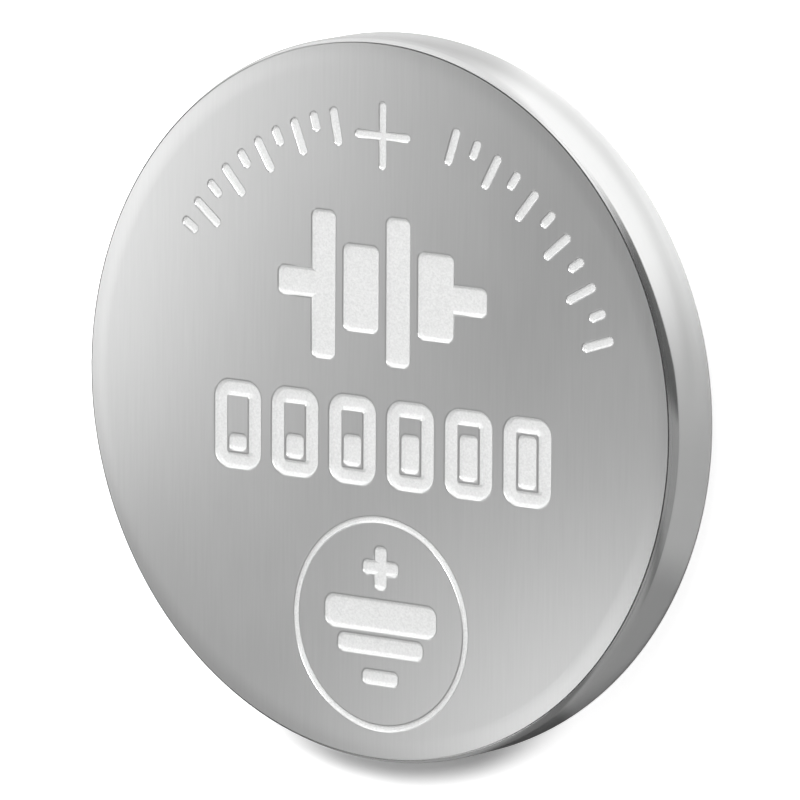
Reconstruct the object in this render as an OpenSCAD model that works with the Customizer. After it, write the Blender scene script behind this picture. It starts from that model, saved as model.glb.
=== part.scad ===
// Lithium coin cell, lying on its negative cap with the positive face up.
// The origin is the centre of the cap's outer face, and Z is the cell's axis.
// Every piece is turned round that axis, so each has one section, drawn with
// X as the radius and Y as the height.
//
// The can is the positive pole. Its rim is rolled in over a plastic gasket,
// which it squeezes against the shoulder of the cap, the negative pole.

/* [Cell] */
// Outside diameter of the closed cell
cell_d = 20; // [14:0.5:30]
// Thickness over both contact faces
cell_h = 3.2; // [3:0.1:5]

/* [Can] */
// Sheet thickness of the can
can_t = 0.25; // [0.2:0.01:0.3]
// Outside radius of the drawn corner between face and wall
can_corner_r = 0.55; // [0.4:0.01:0.8]
// Distance from the wall to the crease where face and corner meet
crease_inset = 0.12; // [0.08:0.01:0.25]
// Width of the slight slope between the flat face and the crease
face_slope_w = 0.38; // [0.2:0.01:0.8]
// Fall of that slope
face_slope_fall = 0.035; // [0.01:0.005:0.06]
// Outside radius of the rolled rim
crimp_r = 1.2; // [1.1:0.01:1.35]
// Angle that the rim is rolled through
crimp_angle = 68; // [60:1:74]

/* [Cap] */
// Sheet thickness of the cap
cap_t = 0.25; // [0.2:0.01:0.28]
// Width of the ring between the cap's drum and the outside of the can
rim_w = 1.15; // [1.08:0.01:1.3]
// Height of the drum, from the contact face to the shoulder
drum_h = 1.07; // [0.95:0.01:1.2]
// Outside radius of the drum's edge
drum_edge_r = 0.35; // [0.3:0.01:0.5]
// Radius of the hollow corner between drum and shoulder
drum_root_r = 0.12; // [0.05:0.01:0.14]
// Outside radius of the bend from shoulder to skirt
shoulder_r = 0.45; // [0.38:0.01:0.48]
// Length of the hem, the skirt's edge folded back inside it
hem_l = 0.8; // [0.4:0.05:1]
// Space left between the skirt and its hem
hem_gap = 0.04; // [0.02:0.01:0.08]

/* [Gasket] */
// Thickness of the gasket's sleeve, between can and skirt
sleeve_t = 0.25; // [0.22:0.01:0.28]
// Thickness that the rolled rim squeezes the sleeve to
squeezed_t = 0.18; // [0.12:0.01:0.21]
// Thickness of the web between the hem's fold and the can's floor
web_t = 0.25; // [0.15:0.01:0.4]
// Thickness of the inner lip
lip_t = 0.25; // [0.15:0.01:0.4]
// Height of the inner lip above the can's floor
lip_h = 0.8; // [0.4:0.05:1]
// How far the gasket's end stays behind the rim's outer edge
end_set_back = 0.09; // [0.02:0.01:0.2]

/* [Cathode] */
// Sheet thickness of the ring round the pellet
ring_t = 0.15; // [0.1:0.01:0.2]
// Free width between the gasket's lip and the ring
ring_clearance = 0.55; // [0.2:0.05:1]
// Width of the ring's flange under the pellet
ring_flange_w = 0.9; // [0.4:0.05:2]
// Height of the ring
ring_h = 1.3; // [0.6:0.05:1.5]
// Radius of the ring's bend, inside
ring_bend_r = 0.1; // [0.05:0.01:0.2]
// Bevel pressed round the pellet's edge
pellet_bevel = 0.15; // [0.05:0.01:0.3]

/* [Anode] */
// Thickness of the lithium disc
lithium_t = 0.6; // [0.3:0.05:0.8]
// Free width between the lithium and the drum's wall
lithium_clearance = 0.6; // [0.3:0.05:1.5]
// Radius of the lithium's rolled edge
lithium_edge_r = 0.12; // [0.05:0.01:0.14]
// Thickness of the separator
separator_t = 0.2; // [0.1:0.05:0.3]
// Free width between the separator and the drum's wall
separator_clearance = 0.15; // [0.05:0.05:0.5]

/* [Hidden] */
$fn = 144;

// Can: the corner's centre is where its arc passes through the crease
cell_r = cell_d / 2;
can_bore_r = cell_r - can_t;
can_floor_z = cell_h - can_t;
crease_r = cell_r - crease_inset;
face_r = crease_r - face_slope_w;
crease_z = cell_h - face_slope_fall;
corner_centre_r = cell_r - can_corner_r;
corner_centre_z = crease_z - sqrt(pow(can_corner_r, 2) - pow(crease_r - corner_centre_r, 2));

// Cap: drum, shoulder and skirt, from the middle outwards
drum_r = cell_r - rim_w;
skirt_r = can_bore_r - sleeve_t;
shoulder_centre_r = skirt_r - shoulder_r;
shoulder_centre_z = drum_h + shoulder_r;
fold_r = cap_t + hem_gap / 2;
fold_centre_r = skirt_r - fold_r;
fold_centre_z = can_floor_z - web_t - fold_r;
hem_r = skirt_r - 2 * fold_r;

// Rolled rim: set as far above the shoulder's bend as squeezes the sleeve to its thickness
crimp_bore_r = crimp_r - can_t;
crimp_centre_r = cell_r - crimp_r;
crimp_rise = sqrt(
    pow(crimp_bore_r - shoulder_r - squeezed_t, 2) - pow(crimp_bore_r - shoulder_r - sleeve_t, 2)
);
crimp_centre_z = shoulder_centre_z + crimp_rise;
rim_edge_z = crimp_centre_z - crimp_r * sin(crimp_angle);
gasket_end_z = rim_edge_z + end_set_back;

// Inside: the pellet fills what the lithium and the separator leave
lip_r = hem_r - lip_t;
ring_r = lip_r - ring_clearance;
pellet_r = ring_r - ring_t;
drum_bore_r = drum_r - cap_t;
separator_z = cap_t + lithium_t;
pellet_z = separator_z + separator_t;

// Straight stretch of a section between two radii and two heights
module stretch(r0, r1, z0, z1) {
    translate([r0, z0])
        square([r1 - r0, z1 - z0]);
}

// Bend of formed sheet: a quarter of a ring, in the quadrant that side points to
module bend(centre, inner_r, sheet_t, side) {
    outer_r = inner_r + sheet_t;
    translate(centre)
        intersection() {
            difference() {
                circle(outer_r);
                circle(inner_r);
            }
            translate([min(0, side.x * outer_r), min(0, side.y * outer_r)])
                square(outer_r);
        }
}

// Everything inside the can's skin, the rolled rim carried on as a full round. The part
// under the face starts taller, so that the face alone cuts it.
module can_form(depth) {
    intersection() {
        union() {
            stretch(0, cell_r - depth, crimp_centre_z, corner_centre_z);
            stretch(0, corner_centre_r, corner_centre_z, cell_h + can_corner_r);
            translate([corner_centre_r, corner_centre_z])
                circle(can_corner_r - depth);
            stretch(0, crimp_centre_r, crimp_centre_z - crimp_r + depth, crimp_centre_z);
            translate([crimp_centre_r, crimp_centre_z])
                circle(crimp_r - depth);
        }
        translate([0, -depth])
            under_face();
    }
}

// Everything below the face, its slope carried on past the crease
module under_face() {
    slope = face_slope_fall / face_slope_w;
    polygon([
        [0, -cell_h],
        [0, cell_h],
        [face_r, cell_h],
        [cell_r + face_slope_w, cell_h - slope * (cell_r + face_slope_w - face_r)],
        [cell_r + face_slope_w, -cell_h]
    ]);
}

// The mouth that the rolled rim leaves open, bounded by the sheared edge of its sheet
module mouth() {
    reach = 2 * cell_h;
    polygon([
        [0, crimp_centre_z],
        [crimp_centre_r, crimp_centre_z],
        [crimp_centre_r + reach * cos(crimp_angle), crimp_centre_z - reach * sin(crimp_angle)],
        [0, crimp_centre_z - reach * sin(crimp_angle)]
    ]);
}

module can_section() {
    difference() {
        can_form(0);
        can_form(can_t);
        mouth();
    }
}

module positive_can() {
    color("silver")
        rotate_extrude()
            can_section();
}

// One strip of sheet, from the contact face out over the shoulder and up to the folded hem
module negative_cap() {
    color("gainsboro")
        rotate_extrude() {
            stretch(0, drum_r - drum_edge_r, 0, cap_t);
            bend([drum_r - drum_edge_r, drum_edge_r], drum_edge_r - cap_t, cap_t, [1, -1]);
            stretch(drum_bore_r, drum_r, drum_edge_r, drum_h - drum_root_r);
            bend([drum_r + drum_root_r, drum_h - drum_root_r], drum_root_r, cap_t, [-1, 1]);
            stretch(drum_r + drum_root_r, shoulder_centre_r, drum_h, drum_h + cap_t);
            bend([shoulder_centre_r, shoulder_centre_z], shoulder_r - cap_t, cap_t, [1, -1]);
            stretch(skirt_r - cap_t, skirt_r, shoulder_centre_z, fold_centre_z);
            bend([fold_centre_r, fold_centre_z], hem_gap / 2, cap_t, [1, 1]);
            bend([fold_centre_r, fold_centre_z], hem_gap / 2, cap_t, [-1, 1]);
            stretch(hem_r, hem_r + cap_t, fold_centre_z - hem_l, fold_centre_z);
        }
}

// Everything that the cap's outer skin keeps the gasket out of
module cap_form() {
    difference() {
        stretch(0, drum_r + drum_root_r, 0, drum_h);
        translate([drum_r + drum_root_r, drum_h - drum_root_r])
            circle(drum_root_r);
        stretch(drum_r, cell_r, 0, drum_h - drum_root_r);
    }
    stretch(0, shoulder_centre_r, drum_h, shoulder_centre_z);
    translate([shoulder_centre_r, shoulder_centre_z])
        circle(shoulder_r);
    stretch(0, skirt_r, shoulder_centre_z, fold_centre_z + fold_r);
}

// Sleeve, web and inner lip in one moulding; the sleeve's end shows between rim and drum
module gasket() {
    color("dimgray")
        rotate_extrude() {
            difference() {
                intersection() {
                    can_form(0);
                    stretch(lip_r, cell_r, gasket_end_z, cell_h);
                }
                can_section();
                cap_form();
            }
            stretch(lip_r, hem_r, can_floor_z - lip_h, can_floor_z);
        }
}

// Pressed disc, rebated for the ring's flange so that both meet the can's floor
module cathode_pellet() {
    rebate_r = pellet_r - ring_flange_w;
    color("#2b2b2d")
        rotate_extrude()
            difference() {
                stretch(0, pellet_r, pellet_z, can_floor_z);
                stretch(rebate_r, pellet_r, can_floor_z - ring_t, can_floor_z);
                polygon([
                    [pellet_r - pellet_bevel, pellet_z],
                    [pellet_r, pellet_z],
                    [pellet_r, pellet_z + pellet_bevel]
                ]);
                difference() {
                    stretch(
                        pellet_r - ring_bend_r, pellet_r,
                        can_floor_z - ring_t - ring_bend_r, can_floor_z
                    );
                    translate([pellet_r - ring_bend_r, can_floor_z - ring_t - ring_bend_r])
                        circle(ring_bend_r);
                }
            }
}

module cathode_ring() {
    bend_centre = [pellet_r - ring_bend_r, can_floor_z - ring_t - ring_bend_r];
    color("lightsteelblue")
        rotate_extrude() {
            stretch(pellet_r - ring_flange_w, bend_centre.x, can_floor_z - ring_t, can_floor_z);
            bend(bend_centre, ring_bend_r, ring_t, [1, 1]);
            stretch(pellet_r, ring_r, can_floor_z - ring_h, bend_centre.y);
        }
}

module separator() {
    color("ivory")
        rotate_extrude()
            stretch(0, drum_bore_r - separator_clearance, separator_z, pellet_z);
}

// Foil disc pressed flat on the cap's inner face, its edge rounded by the rolling
module lithium_anode() {
    lithium_r = drum_bore_r - lithium_clearance;
    color("lightgray")
        rotate_extrude() {
            stretch(0, lithium_r - lithium_edge_r, cap_t, cap_t + lithium_t);
            stretch(
                lithium_r - lithium_edge_r, lithium_r,
                cap_t + lithium_edge_r, cap_t + lithium_t - lithium_edge_r
            );
            for (z = [cap_t + lithium_edge_r, cap_t + lithium_t - lithium_edge_r])
                translate([lithium_r - lithium_edge_r, z])
                    circle(lithium_edge_r);
        }
}

positive_can();
negative_cap();
gasket();
cathode_pellet();
cathode_ring();
separator();
lithium_anode();
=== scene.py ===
from math import atan2, cos, pi, radians, sin, sqrt

import bmesh
import bpy
from mathutils import Matrix, Vector


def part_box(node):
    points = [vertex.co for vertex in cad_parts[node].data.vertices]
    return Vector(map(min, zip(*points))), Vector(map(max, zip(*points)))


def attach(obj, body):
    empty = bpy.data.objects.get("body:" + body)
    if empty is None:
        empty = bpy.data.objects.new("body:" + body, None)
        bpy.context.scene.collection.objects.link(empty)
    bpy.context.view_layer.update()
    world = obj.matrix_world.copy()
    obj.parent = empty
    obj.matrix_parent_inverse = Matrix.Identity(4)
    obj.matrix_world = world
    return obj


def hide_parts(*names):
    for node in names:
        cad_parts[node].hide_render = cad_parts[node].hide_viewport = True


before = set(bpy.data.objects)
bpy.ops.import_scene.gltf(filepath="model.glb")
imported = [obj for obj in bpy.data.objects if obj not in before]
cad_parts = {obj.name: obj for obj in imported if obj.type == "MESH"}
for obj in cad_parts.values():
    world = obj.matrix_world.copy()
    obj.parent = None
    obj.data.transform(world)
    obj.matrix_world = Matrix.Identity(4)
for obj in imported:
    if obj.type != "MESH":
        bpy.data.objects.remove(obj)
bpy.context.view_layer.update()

# Camera. A long lens stands well away from the cell, because its edges look nearly parallel
# in the photograph. It looks down on the lying cell, turned about its own line of sight until
# the polarity mark is at the top.
camera_target = Vector((0.00089, 0.00016, 0.0032))
camera_distance = 0.3
camera_azimuth = radians(15.42)
camera_tilt = radians(38.05)
camera_roll = radians(-101.95)

towards_camera = Vector(
    (sin(camera_tilt) * cos(camera_azimuth), sin(camera_tilt) * sin(camera_azimuth), cos(camera_tilt))
)
level_right = Vector((-sin(camera_azimuth), cos(camera_azimuth), 0))
level_up = towards_camera.cross(level_right)
picture_right = cos(camera_roll) * level_right + sin(camera_roll) * level_up
picture_up = towards_camera.cross(picture_right)
camera_data = bpy.data.cameras.new("camera")
camera_data.lens = 496
camera_data.clip_start = 0.01
camera = bpy.data.objects.new("camera", camera_data)
camera.matrix_world = Matrix.Translation(camera_target + camera_distance * towards_camera) @ Matrix(
    (picture_right, picture_up, towards_camera)
).transposed().to_4x4()
bpy.context.collection.objects.link(camera)
bpy.context.scene.camera = camera


# Positive can. A cup deep-drawn from nickel-plated stainless strip, whose face, corner, wall
# and rolled rim are one sheet. Its half section is drawn in millimetres, as radius and height,
# and turned round the cell's axis.
can_low, can_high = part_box("positive_can")
MM = 0.001
cell_r = can_high.x / MM
cell_h = can_high.z / MM
sheet = 0.25
corner_r = 0.55
crease_r = cell_r - 0.12
slope_w = 0.38
slope_fall = 0.022
slope_blend = 0.18
rolled_r = 1.2
rolled_angle = 68
crease_cut_w = 0.024
crease_cut_depth = 0.08

face_r = crease_r - slope_w
slope = slope_fall / slope_w
corner_centre = (
    cell_r - corner_r,
    cell_h - slope_fall - sqrt(corner_r**2 - (crease_r - cell_r + corner_r) ** 2),
)
rolled_centre = (cell_r - rolled_r, can_low.z / MM + rolled_r * sin(radians(rolled_angle)))


def arc(centre, radius, start, end, steps):
    """Points along an arc of a section, its angles in degrees from the outward radius."""
    angles = [radians(start + (end - start) * i / steps) for i in range(steps + 1)]
    return [(centre[0] + radius * cos(a), centre[1] + radius * sin(a)) for a in angles]


def crossing(centre, radius, line_height):
    """Angle in degrees at which an arc rises through the sloping line round the face."""
    low, high = 0.0, pi / 2
    for _ in range(40):
        middle = (low + high) / 2
        r = centre[0] + radius * cos(middle)
        below = centre[1] + radius * sin(middle) < line_height - slope * (r - face_r)
        low, high = (middle, high) if below else (low, middle)
    return low * 180 / pi


can_section = [(face_r, cell_h - sheet)]
can_section += arc(corner_centre, corner_r - sheet, crossing(corner_centre, corner_r - sheet, cell_h - sheet), 0, 6)
can_section += arc(rolled_centre, rolled_r - sheet, 0, -rolled_angle, 16)
can_section += arc(rolled_centre, rolled_r, -rolled_angle, 0, 24)
can_section += arc(corner_centre, corner_r, 0, crossing(corner_centre, corner_r, cell_h) - 1.5, 14)
can_section += [
    (crease_r + 0.004, cell_h - slope_fall - crease_cut_depth),
    (crease_r - 0.5 * crease_cut_w, cell_h - slope_fall - crease_cut_depth),
    (crease_r - crease_cut_w, cell_h - slope * (slope_w - crease_cut_w)),
    (face_r + slope_blend, cell_h - slope * slope_blend),
    (face_r + slope_blend / 3, cell_h - slope * slope_blend * 4 / 9),
    (face_r - slope_blend / 3, cell_h - slope * slope_blend / 9),
    (face_r - slope_blend, cell_h),
]
# Rings across the face keep its polygons smaller than the marks that are pressed into it
face_rings = 16
can_section += [(face_r * (1 - i / face_rings), cell_h) for i in range(1, face_rings)]


class Flow:
    """A node's output in a tree, which takes Python's operators and starts other nodes."""

    def __init__(self, tree, socket=None):
        self.tree = tree
        self.socket = socket

    def node(self, kind, settings=None, inputs=None, output=0):
        """A node of any kind: its settings first, then the values or links of its sockets."""
        made = self.tree.nodes.new(kind)
        for name, value in (settings or {}).items():
            if name == "stops":
                for i, (place, colour) in enumerate(value):
                    stop = made.color_ramp.elements[i] if i < 2 else made.color_ramp.elements.new(place)
                    stop.position = place
                    stop.color = colour
            else:
                setattr(made, name, value)
        for name, value in (inputs or {}).items():
            if isinstance(value, Flow):
                self.tree.links.new(value.socket, made.inputs[name])
            else:
                made.inputs[name].default_value = value
        return Flow(self.tree, made.outputs[output] if made.outputs else None)

    def maths(self, operation, *others):
        return self.node("ShaderNodeMath", {"operation": operation}, dict(enumerate((self, *others))))

    def __add__(self, other):
        return self.maths("ADD", other)

    __radd__ = __add__

    def __sub__(self, other):
        return self.maths("SUBTRACT", other)

    def __rsub__(self, other):
        return self.node("ShaderNodeMath", {"operation": "SUBTRACT"}, {0: other, 1: self})

    def __mul__(self, other):
        return self.maths("MULTIPLY", other)

    __rmul__ = __mul__

    def __truediv__(self, other):
        return self.maths("DIVIDE", other)

    def rise(self, start, end):
        """0 below start and 1 above end, with a smooth step between, or the other way round."""
        return self.node(
            "ShaderNodeMapRange",
            {"interpolation_type": "SMOOTHSTEP"},
            {"Value": self, "From Min": start, "From Max": end},
        )


# The tree that turns a section. Its points go round the axis, their circle drawn out to a
# rounded rectangle where straight lengths are given, and discs close the section's two ends.
turning = bpy.data.node_groups.new("turned section", "GeometryNodeTree")
for name, kind in (
    ("Section", "Geometry"),
    ("Steps", "Int"),
    ("Straight Across", "Float"),
    ("Straight Along", "Float"),
    ("Discs", "Bool"),
    ("Material", "Material"),
):
    turning.interface.new_socket(name, in_out="INPUT", socket_type="NodeSocket" + kind)
turning.interface.new_socket("Piece", in_out="OUTPUT", socket_type="NodeSocketGeometry")
start = Flow(turning)
inlet = turning.nodes.new("NodeGroupInput")
section, steps, across, along, discs, finish_material = [Flow(turning, s) for s in inlet.outputs][:6]
count = start.node("GeometryNodeAttributeDomainSize", {"component": "MESH"}, {0: section})
index = start.node("GeometryNodeInputIndex")


def wrapped(which_point, which_step):
    """Place of one of the section's points at one step round the axis."""
    place = start.node(
        "GeometryNodeSampleIndex",
        {"data_type": "FLOAT_VECTOR"},
        {
            "Geometry": section,
            "Value": start.node("GeometryNodeInputPosition"),
            "Index": which_point,
        },
    )
    radius = place.node("ShaderNodeSeparateXYZ", None, {0: place}, "X")
    height = place.node("ShaderNodeSeparateXYZ", None, {0: place}, "Z")
    angle = (which_step + 0.5) * (2 * pi) / steps
    x = angle.maths("COSINE")
    y = angle.maths("SINE")
    return start.node(
        "ShaderNodeCombineXYZ",
        None,
        {
            "X": x * radius + x.maths("SIGN") * across / 2,
            "Y": y * radius + y.maths("SIGN") * along / 2,
            "Z": height,
        },
    )


wall = start.node(
    "GeometryNodeSetPosition",
    None,
    {
        "Geometry": start.node(
            "GeometryNodeMeshGrid", None, {"Vertices X": steps + 1, "Vertices Y": count}, "Mesh"
        ),
        "Position": wrapped(index.maths("FLOORED_MODULO", count), (index / count + 0.0001).maths("FLOOR")),
    },
)
disc = start.node("GeometryNodeMeshCircle", {"fill_type": "NGON"}, {"Vertices": steps}, "Mesh")
last_disc = start.node(
    "GeometryNodeSetPosition", None, {"Geometry": disc, "Position": wrapped(count - 1, index)}
)
first_disc = start.node(
    "GeometryNodeSetPosition", None, {"Geometry": disc, "Position": wrapped(count * 0, index)}
)
both = start.node("GeometryNodeJoinGeometry")
for part in (last_disc, first_disc.node("GeometryNodeFlipFaces", None, {"Mesh": first_disc})):
    turning.links.new(part.socket, both.socket.node.inputs[0])
ends = start.node("GeometryNodeSwitch", {"input_type": "GEOMETRY"}, {"Switch": discs, "True": both})
whole = start.node("GeometryNodeJoinGeometry")
for part in (wall, ends):
    turning.links.new(part.socket, whole.socket.node.inputs[0])
merged = start.node("GeometryNodeMergeByDistance", None, {"Geometry": whole, "Distance": 0.00002})
realized = start.node("GeometryNodeRealizeInstances", None, {"Geometry": merged})
painted = start.node("GeometryNodeSetMaterial", None, {"Geometry": realized, "Material": finish_material})
outlet = turning.nodes.new("NodeGroupOutput")
turning.links.new(painted.socket, outlet.inputs[0])


def through_tree(piece, tree, **values):
    """Runs a piece through a tree, its inputs given by name, and leaves it a plain mesh."""
    modifier = piece.modifiers.new(tree.name, "NODES")
    modifier.node_group = tree
    for item in tree.interface.items_tree:
        value = values.get(item.name.replace(" ", "_").lower())
        if value is not None:
            modifier[item.identifier] = value
    return made_plain(piece)


def made_plain(piece):
    """Leaves a piece as the mesh that its modifiers make."""
    graph = bpy.context.evaluated_depsgraph_get()
    mesh = bpy.data.meshes.new_from_object(piece.evaluated_get(graph))
    piece.modifiers.clear()
    piece.data = mesh
    return piece


def turned(name, section_points, steps, material, straight=(0, 0), discs=True):
    mesh = bpy.data.meshes.new(name)
    edges = [(i, i + 1) for i in range(len(section_points) - 1)]
    mesh.from_pydata([(r, 0, z) for r, z in section_points], edges, [])
    piece = bpy.data.objects.new(name, mesh)
    bpy.context.collection.objects.link(piece)
    return through_tree(
        piece,
        turning,
        steps=steps,
        straight_across=float(straight[0]),
        straight_along=float(straight[1]),
        discs=discs,
        material=material,
    )


def finished(piece, body, slot, *nodes, flat_z=None, flat_r=0):
    """Smooths a piece's bends, brings it to metres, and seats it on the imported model."""
    piece.data.shade_smooth()
    piece.data.set_sharp_from_angle(angle=radians(35))
    if flat_z:
        # A flat face that marks are pressed into is shaded flat right up to them
        for face in piece.data.polygons:
            face.use_smooth = face.center.z < flat_z - 0.0001 or face.center.xy.length > flat_r
    normals = piece.modifiers.new("normals", "WEIGHTED_NORMAL")
    normals.keep_sharp = True
    normals.thresh = 0.0001
    made_plain(piece)
    piece.data.transform(Matrix.Scale(MM, 4))
    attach(piece, body)
    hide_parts(*nodes)


def begun(name):
    """A new material, with its place on the object and the three parts of it in millimetres."""
    material = bpy.data.materials.new(name)
    material.use_nodes = True
    material.node_tree.nodes.clear()
    start = Flow(material.node_tree)
    place = start.node("ShaderNodeTexCoord", None, None, "Object")
    parts = [place.node("ShaderNodeSeparateXYZ", None, {0: place}, axis) * (1 / MM) for axis in "XYZ"]
    return material, start, place, *parts


nickel, start, place, x, y, z = begun("can nickel")
radius = (x * x + y * y).maths("SQRT")
# The strip is brushed across the face, and the die leaves lines round the wall
brushing = start.node("ShaderNodeCombineXYZ", None, {"X": x * 14, "Y": y * 0.5})
die_lines = start.node("ShaderNodeCombineXYZ", None, {"X": z * 18, "Y": y.maths("ARCTAN2", x) * 6})
on_wall = radius.rise(crease_r - 0.01, crease_r + 0.03)
across_face = start.node("ShaderNodeTexNoise", None, {"Vector": brushing, "Scale": 1.0, "Detail": 2.0})
round_wall = start.node("ShaderNodeTexNoise", None, {"Vector": die_lines, "Scale": 1.0, "Detail": 4.0})
streaks = across_face + (round_wall - across_face) * on_wall - 0.5
clouds = start.node("ShaderNodeTexNoise", None, {"Vector": place, "Scale": 260.0, "Detail": 2.0}) - 0.5
grain = start.node("ShaderNodeTexNoise", None, {"Vector": place, "Scale": 16000.0, "Detail": 3.0}) - 0.5
frosted = z.rise(cell_h - 0.01, cell_h - 0.024) * radius.rise(9.4, 9.3)
tone = 0.7 + 0.06 * streaks + 0.04 * clouds
frost_tone = 0.81 + 0.26 * grain
tone = tone + (frost_tone - tone) * frosted
roughness = 0.31 - 0.15 * on_wall + 0.03 * streaks + 0.03 * clouds
roughness = roughness + (0.8 - roughness) * frosted
height = 0.0004 * streaks + (0.01 * grain - 0.0004 * streaks) * frosted
bump = start.node("ShaderNodeBump", None, {"Height": height, "Distance": MM, "Strength": 1.0})


def grey(tone, red=1.0, green=1.0, blue=1.0):
    """The colour of a tone, its three parts weighted."""
    return tone.node(
        "ShaderNodeCombineColor", None, {"Red": tone * red, "Green": tone * green, "Blue": tone * blue}
    )


def surfaced(material, **sockets):
    """Ends a material in one surface, with the values or links of its sockets."""
    start = Flow(material.node_tree)
    surface = start.node("ShaderNodeBsdfPrincipled", None, sockets)
    start.node("ShaderNodeOutputMaterial", None, {"Surface": surface})


surfaced(
    nickel,
    **{"Base Color": grey(tone, green=1.004)},
    Metallic=1.0 - 0.75 * frosted,
    Roughness=roughness,
    Normal=bump,
)

can = turned("can", can_section, 240, nickel)

# Marks stamped into the positive face: a plus between two arcs of graduation strokes, the
# circuit symbol of a battery, a row of charge bars, and a ring round a side view of the cell.
# The stamp's flat lands leave frosted floors, and the sheet rolls over softly at their edges.
stamp_x = 0.25
stamp_draft = 32
bold = {"depth": 0.1, "foot_r": 0.06, "lip_r": 0.1}
fine = {"depth": 0.065, "foot_r": 0.03, "lip_r": 0.06}


def stamp_side(half_w, depth, foot_r, lip_r):
    """A mark's half section, from its floor out to the lip and up past the face."""
    lean = radians(stamp_draft)
    side = arc((half_w - foot_r * cos(lean), cell_h - depth + foot_r), foot_r, -90, -stamp_draft, 3)
    lip_z = cell_h - lip_r * (1 - sin(lean))
    lip_x = half_w + (lip_z - side[-1][1]) * sin(lean) / cos(lean)
    side += arc((lip_x + lip_r * cos(lean), cell_h - lip_r), lip_r, 180 - stamp_draft, 100, 5)
    return side + [(side[-1][0] + 0.012, cell_h + 0.001), (side[-1][0] + 0.014, cell_h + 0.1)]


row = bpy.data.node_groups.new("row of marks", "GeometryNodeTree")
for name, kind in (
    ("Mark", "Geometry"),
    ("Count", "Int"),
    ("Radius", "Float"),
    ("First Turn", "Float"),
    ("Turn Step", "Float"),
    ("Pitch", "Float"),
    ("Material", "Material"),
):
    row.interface.new_socket(name, in_out="INPUT", socket_type="NodeSocket" + kind)
row.interface.new_socket("Marks", in_out="OUTPUT", socket_type="NodeSocketGeometry")
start = Flow(row)
inlet = row.nodes.new("NodeGroupInput")
mark, count, row_radius, first, step, pitch, mark_material = [Flow(row, s) for s in inlet.outputs][:7]
number = start.node("GeometryNodeInputIndex")
turn = first + number * step
spots = start.node(
    "GeometryNodePoints",
    None,
    {
        "Count": count,
        "Position": start.node(
            "ShaderNodeCombineXYZ",
            None,
            {"X": row_radius * turn.maths("COSINE") + number * pitch, "Y": row_radius * turn.maths("SINE")},
        ),
    },
)
copies = start.node(
    "GeometryNodeInstanceOnPoints",
    None,
    {
        "Points": spots,
        "Instance": mark,
        "Rotation": start.node("ShaderNodeCombineXYZ", None, {"Z": turn}),
    },
)
realized = start.node("GeometryNodeRealizeInstances", None, {"Geometry": copies})
painted = start.node("GeometryNodeSetMaterial", None, {"Geometry": realized, "Material": mark_material})
outlet = row.nodes.new("NodeGroupOutput")
row.links.new(painted.socket, outlet.inputs[0])

# Marks that cross or touch others are pressed by a second stamp, so that neither overlaps itself
stamps = (bmesh.new(), bmesh.new())


def stamped(mark, x, y, turn=0, count=1, radius=0, turn_step=0, pitch=0, stamp=0):
    """Repeats a mark along an arc or a line, moves it to its place, and adds it to a stamp."""
    through_tree(
        mark,
        row,
        count=count,
        radius=float(radius),
        first_turn=radians(turn),
        turn_step=radians(turn_step),
        pitch=float(pitch),
        material=nickel,
    )
    mark.data.transform(Matrix.Translation((x + stamp_x, y, 0)))
    stamps[stamp].from_mesh(mark.data)
    bpy.data.objects.remove(mark)


def block(width, height, corner, edge, steps=48):
    """A solid mark, a rectangle with round corners."""
    side = stamp_side(corner, **edge)
    return turned("mark", side, steps, nickel, (width - 2 * corner, height - 2 * corner))


def outline(width, height, corner, line, edge, steps=96):
    """A line round a rectangle with round corners, or round a circle where corner is its radius."""
    side = stamp_side(line / 2, **edge)
    loop = [(corner - x, z) for x, z in reversed(side)] + [(corner + x, z) for x, z in side]
    straight = (width - line - 2 * corner, height - line - 2 * corner)
    return turned("mark", loop + loop[:1], steps, nickel, straight, discs=False)


plus_y = 7.36
for arm in (0, 1):
    stamped(block(1.8, 0.16, 0.08, fine), 0, plus_y, 90 * arm, stamp=arm)

arc_r = 7.65
tick_l = 1.0
short_tick_l = 0.5
tick_w = 0.19
for first, last, count in ((18, 72, 11), (102, 147, 10)):
    step = (last - first) / (count - 1)
    longs = (count + 1) // 2
    stamped(block(tick_l, tick_w, tick_w / 2, fine), 0, 0, first, longs, arc_r, 2 * step)
    short_r = arc_r + (tick_l - short_tick_l) / 2
    stamped(block(short_tick_l, tick_w, tick_w / 2, fine), 0, 0, first + step, count - longs, short_r, 2 * step)

symbol_y = 3.1
symbol_w = 7.0
long_plate = (0.7, 4.0)
short_plate = (1.1, 2.3)
lead = (1.25, 0.7)
for side in (-1, 1):
    stamped(block(*lead, 0.15, bold), side * (symbol_w - lead[0]) / 2, symbol_y, stamp=1)
stamped(block(*long_plate, 0.15, bold), -2.0, symbol_y, count=2, pitch=2.55)
stamped(block(*short_plate, 0.15, bold), -0.72, symbol_y, count=2, pitch=2.55)

gauge_y = -1.1
gauge_w = 11.4
bars = 6
bar = (1.5, 2.35)
bar_line = 0.32
bar_pitch = (gauge_w - bar[0]) / (bars - 1)
stamped(outline(*bar, 0.28, bar_line, bold), -gauge_w / 2 + bar[0] / 2, gauge_y, count=bars, pitch=bar_pitch)
for i in range(bars):
    level = 0.36 + (1.36 - 0.36) * i / (bars - 1)
    bottom = gauge_y - 0.68
    stamped(block(0.5, level, 0.1, bold), -gauge_w / 2 + bar[0] / 2 + i * bar_pitch, bottom + level / 2, stamp=1)

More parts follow.
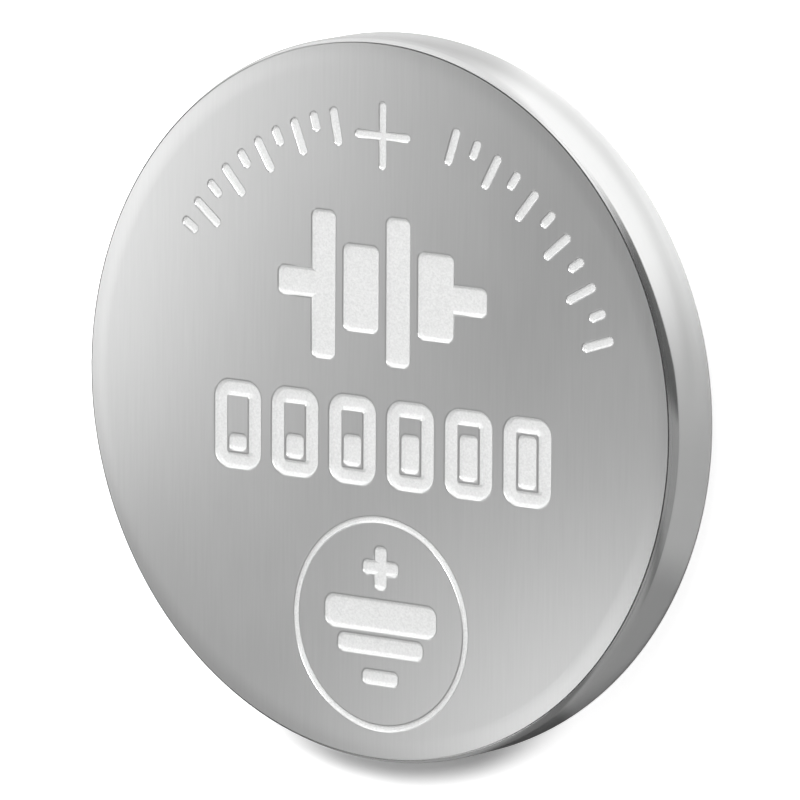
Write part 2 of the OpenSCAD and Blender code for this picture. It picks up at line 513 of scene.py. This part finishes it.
ring_y = -6.12
ring_r = 2.95
stamped(outline(2 * ring_r, 2 * ring_r, ring_r - 0.05, 0.1, fine, 256), 0, ring_y)
sign_l = 1.1
sign_w = 0.3
for arm in (0, 1):
    stamped(block(sign_l, sign_w, 0.1, bold), 0, ring_y + 1.55, 90 * arm, stamp=arm)
stamped(block(sign_l, sign_w, 0.1, bold), 0, ring_y - 1.5)
stamped(block(3.7, 0.8, 0.25, bold), 0, ring_y + 0.22)
stamped(block(2.8, 0.42, 0.15, bold), 0, ring_y - 0.62)

for stamp in stamps:
    stamp_mesh = bpy.data.meshes.new("stamp")
    stamp.to_mesh(stamp_mesh)
    stamp.free()
    stamp_mesh.materials.append(nickel)
    stamp_piece = bpy.data.objects.new("stamp", stamp_mesh)
    bpy.context.collection.objects.link(stamp_piece)
    cut = can.modifiers.new("stamp", "BOOLEAN")
    cut.object = stamp_piece
    cut.operation = "DIFFERENCE"
    cut.solver = "MANIFOLD"
    made_plain(can)
    bpy.data.objects.remove(stamp_piece)
finished(can, "root", "can_nickel", "positive_can", flat_z=cell_h, flat_r=face_r - 2 * slope_blend)

# Negative cap. A stepped cup of thinner plated strip: its drum stands out of the can's mouth,
# and its skirt is folded back on itself inside the can, where the gasket grips it.
cap_low, cap_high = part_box("negative_cap")
skirt_r = cap_high.x / MM
fold_top = cap_high.z / MM
rim_w = 1.15
drum_h = 1.07
drum_edge_r = 0.35
drum_root_r = 0.12
shoulder_r = 0.45
hem_l = 0.8
hem_gap = 0.04

drum_r = cell_r - rim_w
drum_edge = (drum_r - drum_edge_r, drum_edge_r)
drum_root = (drum_r + drum_root_r, drum_h - drum_root_r)
shoulder = (skirt_r - shoulder_r, drum_h + shoulder_r)
fold_r = sheet + hem_gap / 2
fold = (skirt_r - fold_r, fold_top - fold_r)
hem_r = skirt_r - 2 * fold_r

cap_section = arc(drum_edge, drum_edge_r, -90, 0, 10)
cap_section += arc(drum_root, drum_root_r, 180, 90, 6)
cap_section += arc(shoulder, shoulder_r, -90, 0, 10)
cap_section += arc(fold, fold_r, 0, 180, 12)
cap_section += [(hem_r, fold[1] - hem_l), (hem_r + sheet, fold[1] - hem_l)]
cap_section += arc(fold, hem_gap / 2, 180, 0, 6)
cap_section += arc(shoulder, shoulder_r - sheet, 0, -90, 6)
cap_section += arc(drum_root, drum_root_r + sheet, 90, 180, 6)
cap_section += arc(drum_edge, drum_edge_r - sheet, 0, -90, 5)

cap_nickel, start, place, x, y, z = begun("cap nickel")
radius = (x * x + y * y).maths("SQRT")
lathe_lines = start.node("ShaderNodeCombineXYZ", None, {"X": radius * 16, "Y": z * 16})
streaks = start.node("ShaderNodeTexNoise", None, {"Vector": lathe_lines, "Scale": 1.0, "Detail": 3.0}) - 0.5
clouds = start.node("ShaderNodeTexNoise", None, {"Vector": place, "Scale": 300.0, "Detail": 2.0}) - 0.5
stipple = start.node("ShaderNodeTexNoise", None, {"Vector": place, "Scale": 9000.0, "Detail": 2.0}) - 0.5
height = 0.0005 * streaks + 0.0016 * stipple
surfaced(
    cap_nickel,
    **{"Base Color": grey(0.6 + 0.05 * streaks + 0.05 * clouds)},
    Metallic=1.0,
    Roughness=0.36 + 0.06 * streaks + 0.04 * clouds,
    Normal=start.node("ShaderNodeBump", None, {"Height": height, "Distance": MM, "Strength": 1.0}),
)
cap = turned("cap", cap_section, 240, cap_nickel)
finished(cap, "root", "cap_nickel", "negative_cap")

# Gasket. One ring moulded in polypropylene that lines the can's wall, is squeezed by the rolled
# rim, and shows as a dark line between rim and drum. Its end has swollen slightly round.
gasket_low, gasket_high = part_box("gasket")
end_z = gasket_low.z / MM
end_round = 0.05
lip_r = hem_r - 0.25
lip_h = 0.8
bore = rolled_r - sheet
ceiling = cell_h - sheet
corner_angle = crossing(corner_centre, corner_r - sheet, ceiling)
mouth_x, mouth_z = cos(radians(rolled_angle)), sin(radians(rolled_angle))
end_r = rolled_centre[0] + (rolled_centre[1] - end_z - end_round) * mouth_x / mouth_z

gasket_section = [(drum_r, end_z + end_round), (drum_r + end_round, end_z), (end_r - end_round, end_z)]
gasket_section += [(end_r, end_z + end_round)]
gasket_section += arc(rolled_centre, bore, -rolled_angle, 0, 16)
gasket_section += arc(corner_centre, corner_r - sheet, 0, corner_angle, 4)
gasket_section += [(face_r, ceiling), (lip_r, ceiling), (lip_r, ceiling - lip_h), (hem_r, ceiling - lip_h)]
gasket_section += [(hem_r, fold_top), (skirt_r, fold_top)]
gasket_section += arc(shoulder, shoulder_r, 0, -90, 10)
gasket_section += arc(drum_root, drum_root_r, 90, 180, 6)
gasket_section += gasket_section[:1]

polypropylene, start, place, x, y, z = begun("gasket polypropylene")
flow_marks = start.node("ShaderNodeTexNoise", None, {"Vector": place, "Scale": 900.0, "Detail": 3.0}) - 0.5
skin = start.node("ShaderNodeTexNoise", None, {"Vector": place, "Scale": 14000.0, "Detail": 2.0}) - 0.5
surfaced(
    polypropylene,
    **{"Base Color": grey(0.09 + 0.03 * flow_marks, blue=1.05)},
    Roughness=0.5 + 0.2 * flow_marks,
    Normal=start.node("ShaderNodeBump", None, {"Height": 0.002 * skin, "Distance": MM, "Strength": 1.0}),
)
gasket = turned("gasket_ring", gasket_section, 180, polypropylene, discs=False)
finished(gasket, "root", "gasket_polypropylene", "gasket")

# Cathode pellet. Manganese dioxide pressed with carbon into a hard black disc, with pale specks
# of binder in it.
oxide, start, place, x, y, z = begun("cathode oxide")
powder = start.node("ShaderNodeTexNoise", None, {"Vector": place, "Scale": 7000.0, "Detail": 4.0}) - 0.5
speck = start.node("ShaderNodeTexVoronoi", None, {"Vector": place, "Scale": 3500.0}, "Distance").rise(0.16, 0.08)
surfaced(
    oxide,
    **{"Base Color": grey(0.035 + 0.02 * powder + 0.05 * speck)},
    Roughness=0.8 - 0.2 * speck,
    Normal=start.node("ShaderNodeBump", None, {"Height": 0.012 * powder, "Distance": MM, "Strength": 1.0}),
)
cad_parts["cathode_pellet"].material_slots[0].material = oxide

# Cathode ring. Stainless strip pressed into an L section round the pellet's foot.
ring_steel, start, place, x, y, z = begun("ring steel")
die_lines = start.node("ShaderNodeCombineXYZ", None, {"X": z * 20, "Y": y.maths("ARCTAN2", x) * 5})
rubbed = start.node("ShaderNodeTexNoise", None, {"Vector": die_lines, "Scale": 1.0, "Detail": 3.0}) - 0.5
surfaced(
    ring_steel,
    **{"Base Color": grey(0.57 + 0.08 * rubbed)},
    Metallic=1.0,
    Roughness=0.22 + 0.08 * rubbed,
    Normal=start.node("ShaderNodeBump", None, {"Height": 0.0006 * rubbed, "Distance": MM, "Strength": 1.0}),
)
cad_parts["cathode_ring"].material_slots[0].material = ring_steel

# Separator. A disc of non-woven polypropylene fleece, soaked in electrolyte on the real cell.
fleece, start, place, x, y, z = begun("separator fleece")
fibres = [
    start.node(
        "ShaderNodeTexNoise",
        None,
        {
            "Vector": start.node("ShaderNodeCombineXYZ", None, {"X": x * a + y * b, "Y": y * a - x * b}),
            "Scale": 1.0,
            "Detail": 2.0,
        },
    ).maths("PINGPONG", 0.06)
    for a, b in ((9, 1), (1, 8), (6, -6))
]
felt = (fibres[0] + fibres[1] + fibres[2]) * 6 - 0.5
surfaced(
    fleece,
    **{"Base Color": grey(0.83 + 0.08 * felt, green=0.99, blue=0.95)},
    Roughness=0.9 - 0.1 * felt,
    Normal=start.node("ShaderNodeBump", None, {"Height": 0.01 * felt, "Distance": MM, "Strength": 1.0}),
)
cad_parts["separator"].material_slots[0].material = fleece

# Lithium. A disc punched from rolled foil and pressed on the cap's floor, dulled by its own film.
lithium, start, place, x, y, z = begun("lithium foil")
rolling = start.node("ShaderNodeCombineXYZ", None, {"X": x * 0.8, "Y": y * 14, "Z": z * 14})
rolled_lines = start.node("ShaderNodeTexNoise", None, {"Vector": rolling, "Scale": 1.0, "Detail": 4.0}) - 0.5
film = start.node("ShaderNodeTexNoise", None, {"Vector": place, "Scale": 450.0, "Detail": 4.0}) - 0.5
surfaced(
    lithium,
    **{"Base Color": grey(0.53 + 0.06 * rolled_lines + 0.14 * film, blue=0.97)},
    Metallic=0.9,
    Roughness=0.5 + 0.2 * film,
    Normal=start.node("ShaderNodeBump", None, {"Height": 0.002 * rolled_lines, "Distance": MM, "Strength": 1.0}),
)
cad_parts["lithium_anode"].material_slots[0].material = lithium

# Light. A large soft box above the polarity mark throws the cell's shadow towards the viewer's
# side. A dome that is white at the horizon and grey overhead gives the metal its grades, and two
# panels stand near enough to brighten only a part of the face, which mirrors them.
bpy.context.scene.view_settings.view_transform = "Standard"
world = bpy.data.worlds.new("studio")
bpy.context.scene.world = world
world.use_nodes = True
world.node_tree.nodes.clear()
start = Flow(world.node_tree)
skyward = start.node("ShaderNodeTexCoord", None, None, "Generated")
rise = skyward.node("ShaderNodeSeparateXYZ", None, {0: skyward}, "Z")
dome = 1.0 - 0.715 * rise.rise(0.1, 0.6)
sky = start.node("ShaderNodeBackground", None, {"Color": grey(dome), "Strength": 1.0})
start.node("ShaderNodeOutputWorld", None, {"Surface": sky})


def lamp(name, place, right, up, width, height, radiance):
    """A soft box whose level is given as the brightness that it shows."""
    data = bpy.data.lights.new(name, "AREA")
    data.shape = "RECTANGLE"
    data.size = width
    data.size_y = height
    data.energy = radiance * width * height * pi
    box = bpy.data.objects.new(name, data)
    facing = Matrix((right, up, right.cross(up))).transposed().to_4x4()
    box.matrix_world = Matrix.Translation(place) @ facing
    box.visible_camera = False
    bpy.context.collection.objects.link(box)


for name, azimuth, elevation, width, height, radiance in (
    ("key", 55, 58, 0.1, 0.1, 17.5),
    ("fill", 130, 30, 0.16, 0.16, 2.7),
    ("strip", 72, 12, 0.53, 0.09, 0.4),
):
    around, above = radians(azimuth), radians(elevation)
    right = Vector((-sin(around), cos(around), 0))
    towards = Vector((cos(around) * cos(above), sin(around) * cos(above), sin(above)))
    lamp(name, 0.3 * towards, right, towards.cross(right), width, height, radiance)

flip = Matrix.Diagonal((1, 1, -1))
mirror_right = flip @ picture_right
mirror_up = flip @ picture_up
towards_mirror = mirror_right.cross(mirror_up)
panel_distance = 60
for name, across, above, width, height, radiance in (
    ("left panel", -10.1, 7.5, 7.8, 19, 2.5),
    ("top panel", -3.5, 15, 11, 8, 1.4),
    ("low panel", 11.5, -13, 11, 13, 2.4),
):
    place = panel_distance * towards_mirror + across * mirror_right + above * mirror_up
    lamp(name, MM * place, mirror_right, mirror_up, MM * width, MM * height, radiance)

# Dark veil, a painted reflection: a sheet that only the metal's mirror image shows, so it darkens the can's
# wall and corner in their reflections and shades nothing. It lies round the cell and rises at its far side.
# It is thickest at the right, where the can's wall and corner mirror it.
painted_reflection_veil, start, place, x, y, z = begun("painted_reflection_veil")
veil_r = (x * x + y * y).maths("SQRT")
bearing = y.maths("ARCTAN2", x) * (180 / pi)
thin = 0.38 * bearing.rise(40, -8) + 0.22 * bearing.rise(-21, -32) + 0.22 * bearing.rise(68, 80)
thin = thin + 0.2 * bearing.rise(-60, -65) * bearing.rise(-88, -76)
strip = bearing.rise(4, -2) * bearing.rise(-40, -26) * veil_r.rise(12.2, 12.8) * veil_r.rise(50, 40)
thick = bearing.rise(60, 34) * bearing.rise(-2, 4) * (veil_r - 0.2 * bearing.maths("MAXIMUM", 10.0)).rise(10.2, 11.2)
past_line = veil_r + 0.009 * bearing - 11.72
line = bearing.rise(0, 15) * past_line.rise(-0.25, -0.05) * past_line.rise(0.2, 0.05)
# How much of the metal's mirrored view the painted dark reflection covers, by bearing and radius
cover = thin + 0.25 * strip + 0.16 * line + (0.88 - thin) * thick
clear = start.node("ShaderNodeBsdfTransparent")
black = start.node("ShaderNodeBsdfDiffuse", None, {"Color": (0.02, 0.02, 0.02, 1)})
veil = start.node("ShaderNodeMixShader", None, {0: cover, 1: clear, 2: black})
start.node("ShaderNodeOutputMaterial", None, {"Surface": veil})
card = turned("card", [(9.3, 0.02), (24, 0.02), (90, 40)], 96, painted_reflection_veil, discs=False)
card.data.transform(Matrix.Scale(MM, 4))
for ray in ("camera", "diffuse", "transmission", "volume_scatter", "shadow"):
    setattr(card, "visible_" + ray, False)

# Floor. Pale paper under the cell. For camera rays it also glows white. That glow is painted light: it hides
# the cell's shadow everywhere but in a window below the cell, where the shadow is kept. A weaker glow on the
# polarity mark's side, which mirror and transmission rays see too, is a painted highlight that the can mirrors.
floor_mesh = bpy.data.meshes.new("floor")
floor_mesh.from_pydata([(-3, -3, -1e-5), (3, -3, -1e-5), (3, 3, -1e-5), (-3, 3, -1e-5)], [], [(0, 1, 2, 3)])
floor = bpy.data.objects.new("floor", floor_mesh)
bpy.context.collection.objects.link(floor)
paper, start, place, x, y, z = begun("paper")
floor_r = (x * x + y * y).maths("SQRT")
bearing = y.maths("ARCTAN2", x) * (180 / pi)
past_line = floor_r + 0.009 * bearing - 11.72
# Painted highlight: the floor glows on the polarity mark's side, near the cell at bearings below about 80 degrees and
# only beyond 15 mm further round, and the can's corner and wall mirror it as bright bands
near = bearing.rise(88, 74) * (0.5 + 0.5 * past_line.rise(0.05, 0.3))
painted_highlight_band = bearing.rise(8, 32) * (near + (1.0 - near) * floor_r.rise(12.5, 15))
shadow_r = ((x + 2.26) * (x + 2.26) + (y + 0.62) * (y + 0.62)).maths("SQRT")
# Window below the cell where the painted glow is held back, so that the cell's own shadow shows there
shade = bearing.rise(-58, -84) * bearing.rise(-130, -106) * shadow_r.rise(11.0, 10.2)
seen = start.node("ShaderNodeLightPath", None, None, "Is Camera Ray")
mirrored = start.node("ShaderNodeLightPath", None, None, "Is Glossy Ray")
through = start.node("ShaderNodeLightPath", None, None, "Is Transmission Ray")
# Painted light: the paper glows white for camera rays outside the shadow window, and the painted highlight band glows
# for camera, mirror and transmission rays
glow = start.node("ShaderNodeEmission", None, {"Color": (1, 1, 1, 1), "Strength": (seen + mirrored + through) * 0.32 * painted_highlight_band + seen * (1.0 - shade) * 0.75})
matt = start.node("ShaderNodeBsdfDiffuse", None, {"Color": (0.95, 0.95, 0.95, 1)})
start.node("ShaderNodeOutputMaterial", None, {"Surface": start.node("ShaderNodeAddShader", None, {0: glow, 1: matt})})
floor.data.materials.append(paper)
